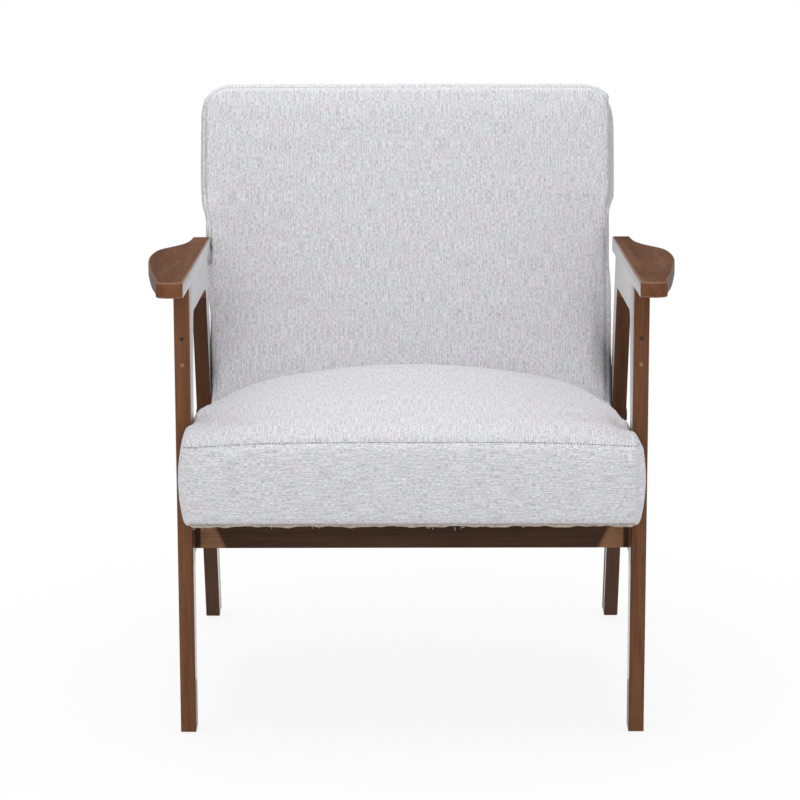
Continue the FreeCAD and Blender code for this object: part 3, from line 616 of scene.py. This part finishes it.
# the left shoulder is filled up square against the side frame
filled = (0.0120 * rising(-deep, -0.06, 0.03) - 0.0065 * rising(-deep, 0.225, 0.26)
          + 0.0012 * np.exp(-((deep + 0.20) / 0.02) ** 2))
wall = 0.335 + 0.048 * rising(-deep, 0.210, 0.245)
high += filled * rising(-across, 0.235, 0.282) * rising(high, wall, wall + 0.020)
outward = normals_of(seat)
points += outward * (0.0006 * rising(outward[:, 2], -0.7, -0.3))[:, None]
above_base = high - seat_base(deep)
at_front = rising(-deep, -cover_low.y - 0.05, -cover_low.y - 0.02)
high -= 0.0012 * rising(-above_base, -0.012, 0.0) * at_front
# over the corners of the wooden frame inside, the cloth stands out a little at the bottom
low_edge = rising(-above_base, -0.016, -0.004) * rising(np.abs(across), 0.245, 0.262)
rear_corner = rising(deep, 0.080, 0.095)
front_corner = rising(deep, leg_front - 0.016, leg_front - 0.006) * rising(-deep, -leg_front - 0.004, -leg_front)
swell = 0.0018 * low_edge * np.maximum(rear_corner, front_corner)
downward = np.maximum(rising(deep, 0.100, 0.104), front_corner)
points += outward * np.column_stack([swell, swell, swell * downward])
# it lies close against the side frames and the front of the legs
room_half = 0.2816
between = deep > leg_front
points[between, 0] = np.clip(points[between, 0], -room_half, room_half)
before_legs = (deep < leg_front + 0.0035) & (np.abs(across) > 0.2795) & (deep > leg_front - 0.03)
points[before_legs, 1] = np.minimum(points[before_legs, 1], leg_front - 0.0004)
move_points(seat, points)

seat_tree = BVHTree.FromObject(seat, bpy.context.evaluated_depsgraph_get())
front_line = []
for x in np.linspace(-seam_half, seam_half, 240):
    place = seat_tree.ray_cast(Vector((x, cover_low.y - 0.2, front_seam(x))), Vector((0, 1, 0)))[0]
    if place:
        front_line.append(place)
# the crown's side seams, seen from above: from the back cushion round the crown to the front corner
crown_seam = [(0.170, 0.128), (0.205, 0.083), (0.235, 0.035), (0.254, -0.012), (0.265, -0.075), (0.2695, -0.145),
              (0.2755, -0.195), (0.2815, -0.235)]
crown_run = np.concatenate([[0], np.cumsum(np.linalg.norm(np.diff(crown_seam, axis=0), axis=1))])
side_lines = []
for turn in (-1, 1):
    side_line = []
    for run in np.linspace(0, crown_run[-1], 160):
        x, y = (np.interp(run, crown_run, [corner[axis] for corner in crown_seam]) for axis in (0, 1))
        place = seat_tree.ray_cast(Vector((turn * x, y, 1.0)), Vector((0, 0, -1)))[0]
        if place:
            side_line.append(place)
    side_lines.append(side_line)
corner_lines = []
for turn in (-1, 1):
    for z in np.linspace(0.302, 0.388, 50):
        place = seat_tree.ray_cast(Vector((turn * seam_half, cover_low.y - 0.2, z)), Vector((0, 1, 0)))[0]
        if place:
            corner_lines.append(place)
side_depth = [0.0016 * rising(place.y, -0.12, -0.04) + 0.0002 for line in side_lines for place in line]
draw_in(seat, front_line + side_lines[0] + side_lines[1] + corner_lines,
        np.concatenate([np.full(len(front_line), 0.0016), side_depth, np.full(len(corner_lines), 0.0018)]), 0.0042)


def lay_threads(piece, panel_of):
    """UV map in metres: panel_of turns a face's middle and normal, and its corners, into thread places."""
    mesh = piece.data
    layer = mesh.uv_layers.new(name="threads")
    uv = np.zeros((len(mesh.loops), 2), np.float32)
    corners = points_of(piece)
    for face in mesh.polygons:
        ring = [mesh.loops[k].vertex_index for k in face.loop_indices]
        uv[list(face.loop_indices)] = panel_of(face.center, face.normal, corners[ring])
    layer.data.foreach_set("uv", uv.ravel())


seat_tree = BVHTree.FromObject(seat, bpy.context.evaluated_depsgraph_get())
profile_y = np.linspace(cover_low.y, cover_high.y, 120)
profile_z = []
for y in profile_y:
    hit = seat_tree.ray_cast(Vector((0, y, 1.0)), Vector((0, 0, -1)))[0]
    profile_z.append(hit.z if hit else front_seam(0))
profile_run = np.concatenate([[0], np.cumsum(np.hypot(np.diff(profile_y), np.diff(profile_z)))])


def seat_panel(middle, normal, corners):
    if normal.z < -0.6:
        return corners[:, :2]
    if middle.z < front_seam(middle.x) and middle.y < leg_front:
        if abs(normal.x) > 0.8:
            return corners[:, [2, 1]] + 0.2
        return corners[:, [2, 0]] + 0.4
    if abs(normal.x) > 0.85:
        return corners[:, 1:3] + 0.2
    return np.column_stack([corners[:, 0], np.interp(corners[:, 1], profile_y, profile_run)])


lay_threads(seat, seat_panel)
# the black cambric closes the underside, inside the turned-in edge of the linen
seat.data.materials.append(black_cambric)
dust_low, dust_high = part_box("dust_cover")
for face in seat.data.polygons:
    if (face.normal.z < -0.7 and dust_low.x < face.center.x < dust_high.x
            and dust_low.y < face.center.y < dust_high.y and face.center.z < dust_high.z + 0.004):
        face.material_index = 1
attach(seat, "root")
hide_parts("seat_cover", "seat_foam")
stitch_row("seat_seam_stitches", [on_cover(seat, front_line, 0.0006)], thread_finish, 0.0038, 0.0024, 0.0011)
stitch_row("crown_seam_stitches", [on_cover(seat, [place for place in line if place.y > -0.09], 0.0003)
                                   for line in side_lines], pale_thread, 0.0038, 0.0024, 0.0009)

# Hem: the raw edge of the cover, turned under the seat's front and stapled; a wavy unbleached strip shows.
# A few threads have frayed out of it.
hem_finish = plain_finish("raw_hem", (0.30, 0.24, 0.18), (0.56, 0.49, 0.41), 0.95, 700, (0.25, 1, 1), 0.0005)
hem_front, hem_half = cover_low.y + 0.0045, 0.2845
hem_base = seat_base(hem_front)
hem_shape = bmesh.new()
hem_rows = []
for x in np.linspace(-hem_half, hem_half, 300):
    sag = (0.0014 + 0.0007 * math.sin(x * 71 + 0.6) + 0.0006 * math.sin(x * 163 + 2.0)
           + 0.0004 * math.sin(x * 317 + 1.1) + 0.0005 * math.exp(-((x + 0.262) / 0.012) ** 2))
    fall_in = min(1.0, (hem_half - abs(x)) / 0.006)
    top = hem_base + 0.0012
    low = hem_base - sag * fall_in
    front = hem_front + 0.004 * (1 - fall_in) + 0.0004 * math.sin(x * 120)
    hem_rows.append([hem_shape.verts.new(corner) for corner in
                     ((x, front, top), (x, front - 0.0002, low + 0.0004), (x, front + 0.0004, low),
                      (x, front + 0.0010, low + 0.0004), (x, front + 0.0012, top))])
for first, second in zip(hem_rows, hem_rows[1:]):
    for k in range(5):
        hem_shape.faces.new((first[k], first[(k + 1) % 5], second[(k + 1) % 5], second[k]))
hem_shape.faces.new(hem_rows[0][::-1])
hem_shape.faces.new(hem_rows[-1])
bmesh.ops.recalc_face_normals(hem_shape, faces=hem_shape.faces)
hem_mesh = mesh_of(hem_shape, "seat_hem")
hem_mesh.materials.append(hem_finish)
hem_mesh.shade_smooth()
hem = new_object("seat_hem", hem_mesh)
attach(hem, "root")

# Frayed threads: short ends of the linen that hang out of the hem here and there, each bent its own way.
# They aren't fixed by anything but the weave.
fray_tree, fray_inputs, add, given = thread_tree(
    "frayed_threads", "Hem line",
    {"Spacing": 0.004, "Share that frayed": 0.13, "Longest": 0.006, "Thread radius": 0.00016}, "Threads")
one_thread = add("GeometryNodeCurveQuadraticBezier", {
    "Resolution": 6, "Start": (0, 0, 0), "Middle": (0.55, -0.10, -0.28), "End": (1.0, -0.12, -0.10)})
picked = add("FunctionNodeRandomValue", {"Probability": given["Share that frayed"], "Seed": 11}, data_type="BOOLEAN")
turned = add("FunctionNodeRandomValue", {0: (-0.5, -0.3, -0.5), 1: (0.5, 1.9, 3.6), "Seed": 12},
             data_type="FLOAT_VECTOR")
grown = add("FunctionNodeRandomValue", {2: 0.002, 3: given["Longest"], "Seed": 13}, data_type="FLOAT")
sprouts = add("GeometryNodeInstanceOnPoints", {
    "Points": places_along(add, given["Hem line"], given["Spacing"]), "Instance": one_thread.outputs["Curve"],
    "Selection": picked.outputs[3], "Rotation": turned.outputs[0], "Scale": grown.outputs[1]})
real = add("GeometryNodeRealizeInstances", {"Geometry": sprouts.outputs["Instances"]})
ring = add("GeometryNodeCurvePrimitiveCircle", {"Resolution": 5, "Radius": given["Thread radius"]})
round_thread = add("GeometryNodeCurveToMesh", {
    "Curve": real.outputs["Geometry"], "Profile Curve": ring.outputs["Curve"], "Fill Caps": True})
dyed = add("GeometryNodeSetMaterial", {"Geometry": round_thread.outputs["Mesh"], "Material": given["Thread"]})
add("NodeGroupOutput", {"Threads": dyed.outputs["Geometry"]})
hem_line = [(x, hem_front + 0.0002, hem_base - 0.0012) for x in np.linspace(-hem_half + 0.01, hem_half - 0.01, 60)]
frayed_finish = plain_finish("frayed_linen", (0.62, 0.56, 0.50), (0.80, 0.76, 0.70), 0.9, 900)
frayed = thread_along("frayed_threads", [hem_line], fray_tree, {fray_inputs["Thread"]: frayed_finish})
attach(frayed, "root")

# Back cushion: a padded frame in the same weave, bolted between the rear legs and leaning back.
# A front panel, a boxing strip round the edge and a flat outside panel are sewn together.
recline = math.radians(16)
back_up = Vector((0, math.sin(recline), math.cos(recline)))
back_in = Vector((0, math.cos(recline), -math.sin(recline)))
back = skin_of("back_cushion", ["back_cover", "back_outside_panel"], 0.006, 4)
points = points_of(back)
along_back = points @ np.array(back_up)
through_back = points @ np.array(back_in)
up_low, up_high = along_back.min(), along_back.max()
through_low, through_high = through_back.min(), through_back.max()
held = np.zeros(len(points))
edge_in = np.minimum(0.282 - np.abs(points[:, 0]), up_high - along_back)
front_edge = (through_back < through_low + 0.03) & (edge_in < 0.014)
held[front_edge] = 0.3
held[(np.abs(points[:, 0]) > 0.279) & (along_back < up_low + 0.36)] = 1.0
held[through_back > through_high - 0.012] = 1.0
held[along_back < up_low + 0.02] = 1.0
plump(back, held, 4.0, 0.005)
finish_cover(back, linen)

# where the side frames press on it, the front panel falls back in a flat fold, more so on the right
points = points_of(back)
along_back = points @ np.array(back_up)
through_back = points @ np.array(back_in)
front_share = np.clip((through_low + 0.075 - through_back) / 0.045, 0, 1)
height_share = np.clip((0.62 - points[:, 2]) / 0.12, 0, 1)
height_share = height_share * height_share * (3 - 2 * height_share)
for turn, fold_start, steep in ((1, 0.2535, 0.50), (-1, 0.268, 0.20)):
    fold_line = fold_start - 0.006 * np.clip((0.47 - points[:, 2]) / 0.08, 0, 1)
    beyond = np.clip(turn * points[:, 0] - fold_line, 0, 0.03)
    fall = steep * beyond * beyond / (beyond + 0.003)
    points += (fall * front_share * height_share)[:, None] * np.array(back_in)
move_points(back, points)

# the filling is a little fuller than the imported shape; above the arms it leans to the left, and the left
# edge of the front panel stands out square against the side frame
points = points_of(back) + normals_of(back) * 0.0012
across, deep, high = points.T
above_arms = rising(high, 0.60, 0.66)
behind_legs = np.where(across < 0, rising(high, 0.47, 0.53), rising(high, 0.50, 0.58))
across[:] = np.clip(across, -room_half - 0.02 * above_arms, room_half + 0.02 * above_arms)
squared = (1 - above_arms) * rising(high, 0.36, 0.44)
from_frame = np.clip(across + room_half, 0, 0.04)
across += squared * (from_frame ** 2 / 0.04 - from_frame)
points -= (squared * 0.006 * rising(-across, 0.262, room_half - 0.0001) * front_share)[:, None] * np.array(back_in)
leaning = 0.0062 * behind_legs + 0.0013 * above_arms
shifted = across - np.where(across > 0, leaning * np.clip(2.0 * front_share, 0.15, 1), leaning)
# the wooden post inside keeps its cover on the right
post_front = (np.array([vert.co for vert in nodes["back_post_right"].data.vertices]) @ np.array(back_in)).min()
beside_post = rising(through_back, post_front - 0.012, post_front - 0.005)
uncovered = np.maximum(np.minimum(across, 0.2792) - shifted, 0)
across[:] = np.where(across > 0, shifted + beside_post * uncovered, shifted)
arm_low, arm_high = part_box("armrest_left")
pressed = (across < -0.2810) & (high > 0.545) & (high < 0.600)
points[pressed, 1] = np.maximum(points[pressed, 1], arm_high.y + 0.0005)
move_points(back, points)

# seam between the front panel and the boxing strip, 7.5 mm inside the outline
seam_inset, corner_radius = 0.0075, 0.040
up_high = (points @ np.array(back_up)).max()
levels = np.linspace(up_low + 0.03, up_high - corner_radius, 120)
arc = [(math.cos(angle), math.sin(angle)) for angle in np.linspace(0, math.pi / 2, 24)[1:-1]]
inner_radius = corner_radius - seam_inset
half_outlines = {}
for turn in (-1, 1):
    widths = np.array([(turn * points[np.abs(along_back - level) < 0.006, 0]).max() for level in levels])
    widths = np.convolve(np.pad(widths, 4, mode="edge"), np.ones(9) / 9, mode="valid")
    corner_x = widths[-1] - corner_radius
    half_outlines[turn] = [(turn * (width - seam_inset), level) for width, level in zip(widths, levels)]
    half_outlines[turn] += [(turn * (corner_x + inner_radius * across), up_high - corner_radius + inner_radius * rise)
                            for across, rise in arc]
top_run = np.linspace(half_outlines[-1][-1][0], half_outlines[1][-1][0], 162)[1:-1]
outline = half_outlines[-1] + [(x, up_high - seam_inset) for x in top_run] + half_outlines[1][::-1]
back_tree = BVHTree.FromObject(back, bpy.context.evaluated_depsgraph_get())
boxing_line, rear_line = [], []
for seam, start_depth, aim in ((boxing_line, through_low - 0.1, back_in), (rear_line, through_high + 0.1, -back_in)):
    for across, rise in outline:
        start = Vector((across, 0, 0)) + back_up * rise + back_in * start_depth
        place = back_tree.ray_cast(start, aim)[0]
        if place:
            seam.append(place)
draw_in(back, boxing_line + rear_line, 0.0014, 0.0040)


def back_panel(middle, normal, corners):
    up = corners @ np.array(back_up)
    if abs(normal.x) > 0.75:
        return np.column_stack([corners @ np.array(back_in), up])
    if abs(normal.dot(back_up)) > 0.75:
        return np.column_stack([corners[:, 0], corners @ np.array(back_in) + 0.3])
    return np.column_stack([corners[:, 0], up])


lay_threads(back, back_panel)
# the boxing strips at the sides get a darker tone of the weave: painted shade on the faces turned to the sides
back.data.materials.append(shaded_boxing_linen)
for face in back.data.polygons:
    if abs(face.normal.x) > 0.72:
        face.material_index = 1
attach(back, "root")
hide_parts("back_cover", "back_outside_panel", "back_foam", "back_wadding")
stitch_row("back_seam_stitches", [on_cover(back, boxing_line, 0.0002), on_cover(back, rear_line, 0.0002)],
           pale_thread, 0.0040, 0.0025, 0.0009)

# The camera stands 4 m in front, a little above the back, and looks 12 degrees down with a long lens.
camera = bpy.data.cameras.new("camera")
camera.lens = 144
camera.sensor_width = 36
camera_stand = new_object("camera", camera)
camera_stand.matrix_world = (Matrix.Translation((-0.0025, -4.2233, 1.3254))
                             @ Matrix.Rotation(math.radians(0.179), 4, "Z")
                             @ Matrix.Rotation(math.radians(90 - 12.439), 4, "X")
                             @ Matrix.Rotation(math.radians(-0.142), 4, "Z"))
bpy.context.scene.camera = camera_stand


# The studio: a white paper floor, a white horizon under a dim ceiling, and large soft lamps above and in front.
# The light is even and plain, and the shadow under the chair is pale.
def studio_lamp(name, place, target, size, power):
    light = bpy.data.lights.new(name, "AREA")
    light.shape = "RECTANGLE"
    light.size, light.size_y = size
    light.energy = power
    stand = new_object(name, light)
    stand.location = place
    stand.rotation_euler = (Vector(target) - Vector(place)).to_track_quat("-Z", "Y").to_euler()
    return stand


studio_lamp("overhead_softbox", (-0.3, -0.5, 2.6), (0, 0, 0.4), (2.0, 1.6), 16.5)
studio_lamp("front_softbox", (-0.2, -3.4, 1.9), (0, 0, 0.4), (2.4, 1.6), 13)
rear_top = studio_lamp("rear_top_softbox", (0, 0.7, 2.4), (0, 0.1, 0.6), (1.6, 0.8), 7)
rear_top.visible_glossy = False


def seen_directly(add, calculate):
    """The ray kinds, and 1 for camera, glossy and transmission rays, 0 for the rays that light the chair."""
    path = add("ShaderNodeLightPath").outputs
    camera_or_gloss = calculate("MAXIMUM", path["Is Camera Ray"], path["Is Glossy Ray"])
    return path, calculate("MAXIMUM", camera_or_gloss, path["Is Transmission Ray"])


world = bpy.data.worlds.new("studio_air")
bpy.context.scene.world = world
world.use_nodes = True
world.node_tree.nodes.clear()
add, calculate, _, remap, _ = node_tools(world.node_tree)
path, directly = seen_directly(add, calculate)
height = add("ShaderNodeSeparateXYZ", {"Vector": add("ShaderNodeTexCoord").outputs["Generated"]}).outputs["Z"]
ceiling = remap(height, -0.02, 0.06, 1.0, 0.05, "SMOOTHSTEP")
behind = calculate("MAXIMUM", ceiling, path["Is Camera Ray"])
strength = add("ShaderNodeMix", {0: directly, 2: 0.79, 3: behind}).outputs[0]
background = add("ShaderNodeBackground", {"Color": (1, 1, 1, 1), "Strength": strength})
add("ShaderNodeOutputWorld", {"Surface": background.outputs["Background"]})

reach = 40.0
floor_mesh = bpy.data.meshes.new("floor")
floor_mesh.from_pydata([(-reach, -reach, 0), (reach, -reach, 0), (reach, reach, 0), (-reach, reach, 0)],
                       [], [(0, 1, 2, 3)])
floor = new_object("floor", floor_mesh)
paper = bpy.data.materials.new("white_paper")
paper.use_nodes = True
matt = paper.node_tree.nodes["Principled BSDF"]
matt.inputs["Base Color"].default_value = (0.9, 0.9, 0.9, 1)
matt.inputs["Roughness"].default_value = 0.9
add, calculate, _, remap, _ = node_tools(paper.node_tree)
path, directly = seen_directly(add, calculate)
# near the feet the paper keeps a light share of the chair's shadow
around = add("ShaderNodeTexCoord").outputs["Object"]
away = add("ShaderNodeVectorMath", {0: around}, operation="LENGTH").outputs["Value"]
whiteness = calculate("MULTIPLY", remap(away, 0.35, 0.95, 0.88, 1.0, "SMOOTHSTEP"), directly)
# for reflections only, the paper glows bright in a lane behind the chair and dimmer beside and in front of it
lane = add("ShaderNodeSeparateXYZ", {"Vector": around}).outputs
within = remap(calculate("ABSOLUTE", lane["X"]), 0.34, 0.30, interpolation_type="SMOOTHSTEP")
bright_lane = calculate("MULTIPLY", within, calculate("GREATER_THAN", lane["Y"], 0.0))
lane_glow = remap(bright_lane, 0.0, 1.0, 0.25, 1.0)
paper_glow = add("ShaderNodeMix", {0: path["Is Glossy Ray"], 2: 1.0, 3: lane_glow}).outputs[0]
white = add("ShaderNodeEmission", {"Strength": paper_glow})
mixed = add("ShaderNodeMixShader", {"Fac": whiteness, 1: matt.outputs["BSDF"], 2: white.outputs["Emission"]})
paper.node_tree.links.new(mixed.outputs["Shader"], paper.node_tree.nodes["Material Output"].inputs["Surface"])
floor_mesh.materials.append(paper)

bpy.context.scene.view_settings.view_transform = "Standard"
